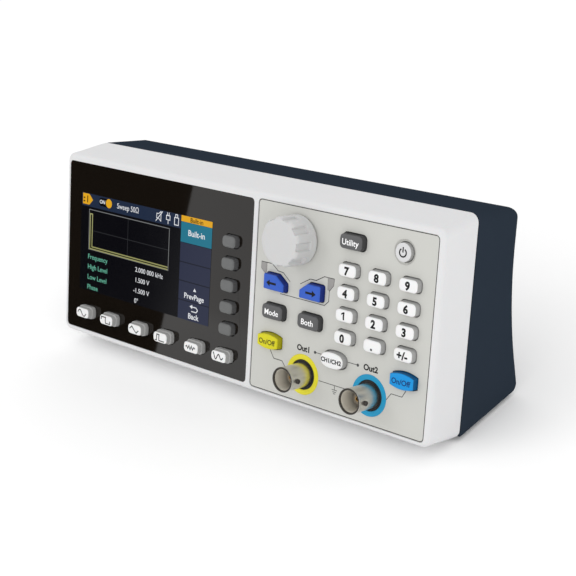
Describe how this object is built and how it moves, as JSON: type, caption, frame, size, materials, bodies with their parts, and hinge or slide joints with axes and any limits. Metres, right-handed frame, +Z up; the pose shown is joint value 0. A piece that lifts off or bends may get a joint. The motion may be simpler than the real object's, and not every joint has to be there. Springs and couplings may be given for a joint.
{
  "type": "function generator",
  "caption": "Bench function generator that leans back on its base: display window with softkeys, number keypad, rotary knob and coaxial output sockets.",
  "frame": {"origin": "centre of the overall box, at the bottom of the rubber feet", "axes": "+X to the right seen from the front, +Y from the front face to the back, +Z up"},
  "size_m": [0.208, 0.0776, 0.0851],
  "materials": {
    "bezel_plastic": "fine satin texture",
    "window_gloss": "polished black",
    "panel_plastic": "fine satin texture",
    "lcd_glass": "glass over a lit display",
    "sheet_steel": "zinc plated",
    "silicone": "matt",
    "circuit_board": "solder resist",
    "case_plastic": "fine spark texture",
    "yellow_plastic": "satin",
    "blue_plastic": "satin",
    "black_plastic": "satin",
    "nickel": "bright nickel plate",
    "white_insulator": "turned PTFE",
    "gold": "gold plate",
    "rubber": "matt",
    "knob_plastic": "soft satin",
    "grey_keys": "silicone",
    "white_keys": "semi gloss",
    "dark_keys": "semi gloss",
    "arrow_blue": "semi gloss"
  },
  "bodies": {
    "body": {"front_bezel": "bezel_plastic", "display_window": "window_gloss", "keypad_panel": "panel_plastic", "lcd_panel": "lcd_glass", "lcd_frame": "sheet_steel", "key_mat": "silicone", "keyboard_board": "circuit_board", "main_board": "circuit_board", "shield_can": "sheet_steel", "io_board": "circuit_board", "rear_case": "case_plastic", "out1_ring": "yellow_plastic", "out2_ring": "blue_plastic", "socket_bushes": "black_plastic", "out1_socket": "nickel", "out2_socket": "nickel", "rear_socket": "nickel", "socket_insulators": "white_insulator", "socket_contacts": "gold", "panel_nuts": "nickel", "encoder_body": "sheet_steel", "dc_inlet": "black_plastic", "usb_ports": "sheet_steel", "standoffs": "sheet_steel", "case_screws": "sheet_steel", "rubber_feet": "rubber"},
    "knob": {"knob": "knob_plastic", "encoder_shaft": "sheet_steel"},
    "softkey_1": {"softkey_1": "grey_keys"},
    "softkey_2": {"softkey_2": "grey_keys"},
    "softkey_3": {"softkey_3": "grey_keys"},
    "softkey_4": {"softkey_4": "grey_keys"},
    "softkey_5": {"softkey_5": "grey_keys"},
    "wave_sine": {"wave_sine": "white_keys"},
    "wave_square": {"wave_square": "white_keys"},
    "wave_ramp": {"wave_ramp": "white_keys"},
    "wave_pulse": {"wave_pulse": "white_keys"},
    "wave_noise": {"wave_noise": "white_keys"},
    "wave_arbitrary": {"wave_arbitrary": "white_keys"},
    "digit_7": {"digit_7": "white_keys"},
    "digit_8": {"digit_8": "white_keys"},
    "digit_9": {"digit_9": "white_keys"},
    "digit_4": {"digit_4": "white_keys"},
    "digit_5": {"digit_5": "white_keys"},
    "digit_6": {"digit_6": "white_keys"},
    "digit_1": {"digit_1": "white_keys"},
    "digit_2": {"digit_2": "white_keys"},
    "digit_3": {"digit_3": "white_keys"},
    "digit_0": {"digit_0": "white_keys"},
    "point_key": {"point_key": "white_keys"},
    "sign_key": {"sign_key": "white_keys"},
    "utility_key": {"utility_key": "dark_keys"},
    "power_button": {"power_button": "white_keys"},
    "arrow_left": {"arrow_left": "arrow_blue"},
    "arrow_right": {"arrow_right": "arrow_blue"},
    "mode_key": {"mode_key": "dark_keys"},
    "both_key": {"both_key": "dark_keys"},
    "out1_key": {"out1_key": "yellow_plastic"},
    "channel_key": {"channel_key": "white_keys"},
    "out2_key": {"out2_key": "blue_plastic"}
  },
  "joints": [
    {"name": "knob_turn", "type": "hinge", "parent": "body", "child": "knob", "pos_m": [0.036, -0.00983, 0.07074], "axis": [0, -0.9511, 0.309], "continuous": true},
    {"name": "softkey_1_press", "type": "slide", "parent": "body", "child": "softkey_1", "axis": [0, 0.9511, -0.309], "range_m": [0, 0.001], "stiffness_N_per_m": 900, "springref_m": -0.0004},
    {"name": "softkey_2_press", "type": "slide", "parent": "body", "child": "softkey_2", "axis": [0, 0.9511, -0.309], "range_m": [0, 0.001], "stiffness_N_per_m": 900, "springref_m": -0.0004},
    {"name": "softkey_3_press", "type": "slide", "parent": "body", "child": "softkey_3", "axis": [0, 0.9511, -0.309], "range_m": [0, 0.001], "stiffness_N_per_m": 900, "springref_m": -0.0004},
    {"name": "softkey_4_press", "type": "slide", "parent": "body", "child": "softkey_4", "axis": [0, 0.9511, -0.309], "range_m": [0, 0.001], "stiffness_N_per_m": 900, "springref_m": -0.0004},
    {"name": "softkey_5_press", "type": "slide", "parent": "body", "child": "softkey_5", "axis": [0, 0.9511, -0.309], "range_m": [0, 0.001], "stiffness_N_per_m": 900, "springref_m": -0.0004},
    {"name": "wave_sine_press", "type": "slide", "parent": "body", "child": "wave_sine", "axis": [0, 0.9511, -0.309], "range_m": [0, 0.001], "stiffness_N_per_m": 900, "springref_m": -0.0004},
    {"name": "wave_square_press", "type": "slide", "parent": "body", "child": "wave_square", "axis": [0, 0.9511, -0.309], "range_m": [0, 0.001], "stiffness_N_per_m": 900, "springref_m": -0.0004},
    {"name": "wave_ramp_press", "type": "slide", "parent": "body", "child": "wave_ramp", "axis": [0, 0.9511, -0.309], "range_m": [0, 0.001], "stiffness_N_per_m": 900, "springref_m": -0.0004},
    {"name": "wave_pulse_press", "type": "slide", "parent": "body", "child": "wave_pulse", "axis": [0, 0.9511, -0.309], "range_m": [0, 0.001], "stiffness_N_per_m": 900, "springref_m": -0.0004},
    {"name": "wave_noise_press", "type": "slide", "parent": "body", "child": "wave_noise", "axis": [0, 0.9511, -0.309], "range_m": [0, 0.001], "stiffness_N_per_m": 900, "springref_m": -0.0004},
    {"name": "wave_arbitrary_press", "type": "slide", "parent": "body", "child": "wave_arbitrary", "axis": [0, 0.9511, -0.309], "range_m": [0, 0.001], "stiffness_N_per_m": 900, "springref_m": -0.0004},
    {"name": "digit_7_press", "type": "slide", "parent": "body", "child": "digit_7", "axis": [0, 0.9511, -0.309], "range_m": [0, 0.001], "stiffness_N_per_m": 900, "springref_m": -0.0004},
    {"name": "digit_8_press", "type": "slide", "parent": "body", "child": "digit_8", "axis": [0, 0.9511, -0.309], "range_m": [0, 0.001], "stiffness_N_per_m": 900, "springref_m": -0.0004},
    {"name": "digit_9_press", "type": "slide", "parent": "body", "child": "digit_9", "axis": [0, 0.9511, -0.309], "range_m": [0, 0.001], "stiffness_N_per_m": 900, "springref_m": -0.0004},
    {"name": "digit_4_press", "type": "slide", "parent": "body", "child": "digit_4", "axis": [0, 0.9511, -0.309], "range_m": [0, 0.001], "stiffness_N_per_m": 900, "springref_m": -0.0004},
    {"name": "digit_5_press", "type": "slide", "parent": "body", "child": "digit_5", "axis": [0, 0.9511, -0.309], "range_m": [0, 0.001], "stiffness_N_per_m": 900, "springref_m": -0.0004},
    {"name": "digit_6_press", "type": "slide", "parent": "body", "child": "digit_6", "axis": [0, 0.9511, -0.309], "range_m": [0, 0.001], "stiffness_N_per_m": 900, "springref_m": -0.0004},
    {"name": "digit_1_press", "type": "slide", "parent": "body", "child": "digit_1", "axis": [0, 0.9511, -0.309], "range_m": [0, 0.001], "stiffness_N_per_m": 900, "springref_m": -0.0004},
    {"name": "digit_2_press", "type": "slide", "parent": "body", "child": "digit_2", "axis": [0, 0.9511, -0.309], "range_m": [0, 0.001], "stiffness_N_per_m": 900, "springref_m": -0.0004},
    {"name": "digit_3_press", "type": "slide", "parent": "body", "child": "digit_3", "axis": [0, 0.9511, -0.309], "range_m": [0, 0.001], "stiffness_N_per_m": 900, "springref_m": -0.0004},
    {"name": "digit_0_press", "type": "slide", "parent": "body", "child": "digit_0", "axis": [0, 0.9511, -0.309], "range_m": [0, 0.001], "stiffness_N_per_m": 900, "springref_m": -0.0004},
    {"name": "point_key_press", "type": "slide", "parent": "body", "child": "point_key", "axis": [0, 0.9511, -0.309], "range_m": [0, 0.001], "stiffness_N_per_m": 900, "springref_m": -0.0004},
    {"name": "sign_key_press", "type": "slide", "parent": "body", "child": "sign_key", "axis": [0, 0.9511, -0.309], "range_m": [0, 0.001], "stiffness_N_per_m": 900, "springref_m": -0.0004},
    {"name": "utility_key_press", "type": "slide", "parent": "body", "child": "utility_key", "axis": [0, 0.9511, -0.309], "range_m": [0, 0.001], "stiffness_N_per_m": 900, "springref_m": -0.0004},
    {"name": "power_button_press", "type": "slide", "parent": "body", "child": "power_button", "axis": [0, 0.9511, -0.309], "range_m": [0, 0.001], "stiffness_N_per_m": 900, "springref_m": -0.0004},
    {"name": "arrow_left_press", "type": "slide", "parent": "body", "child": "arrow_left", "axis": [0, 0.9511, -0.309], "range_m": [0, 0.001], "stiffness_N_per_m": 900, "springref_m": -0.0004},
    {"name": "arrow_right_press", "type": "slide", "parent": "body", "child": "arrow_right", "axis": [0, 0.9511, -0.309], "range_m": [0, 0.001], "stiffness_N_per_m": 900, "springref_m": -0.0004},
    {"name": "mode_key_press", "type": "slide", "parent": "body", "child": "mode_key", "axis": [0, 0.9511, -0.309], "range_m": [0, 0.001], "stiffness_N_per_m": 900, "springref_m": -0.0004},
    {"name": "both_key_press", "type": "slide", "parent": "body", "child": "both_key", "axis": [0, 0.9511, -0.309], "range_m": [0, 0.001], "stiffness_N_per_m": 900, "springref_m": -0.0004},
    {"name": "out1_key_press", "type": "slide", "parent": "body", "child": "out1_key", "axis": [0, 0.9511, -0.309], "range_m": [0, 0.001], "stiffness_N_per_m": 900, "springref_m": -0.0004},
    {"name": "channel_key_press", "type": "slide", "parent": "body", "child": "channel_key", "axis": [0, 0.9511, -0.309], "range_m": [0, 0.001], "stiffness_N_per_m": 900, "springref_m": -0.0004},
    {"name": "out2_key_press", "type": "slide", "parent": "body", "child": "out2_key", "axis": [0, 0.9511, -0.309], "range_m": [0, 0.001], "stiffness_N_per_m": 900, "springref_m": -0.0004}
  ]
}
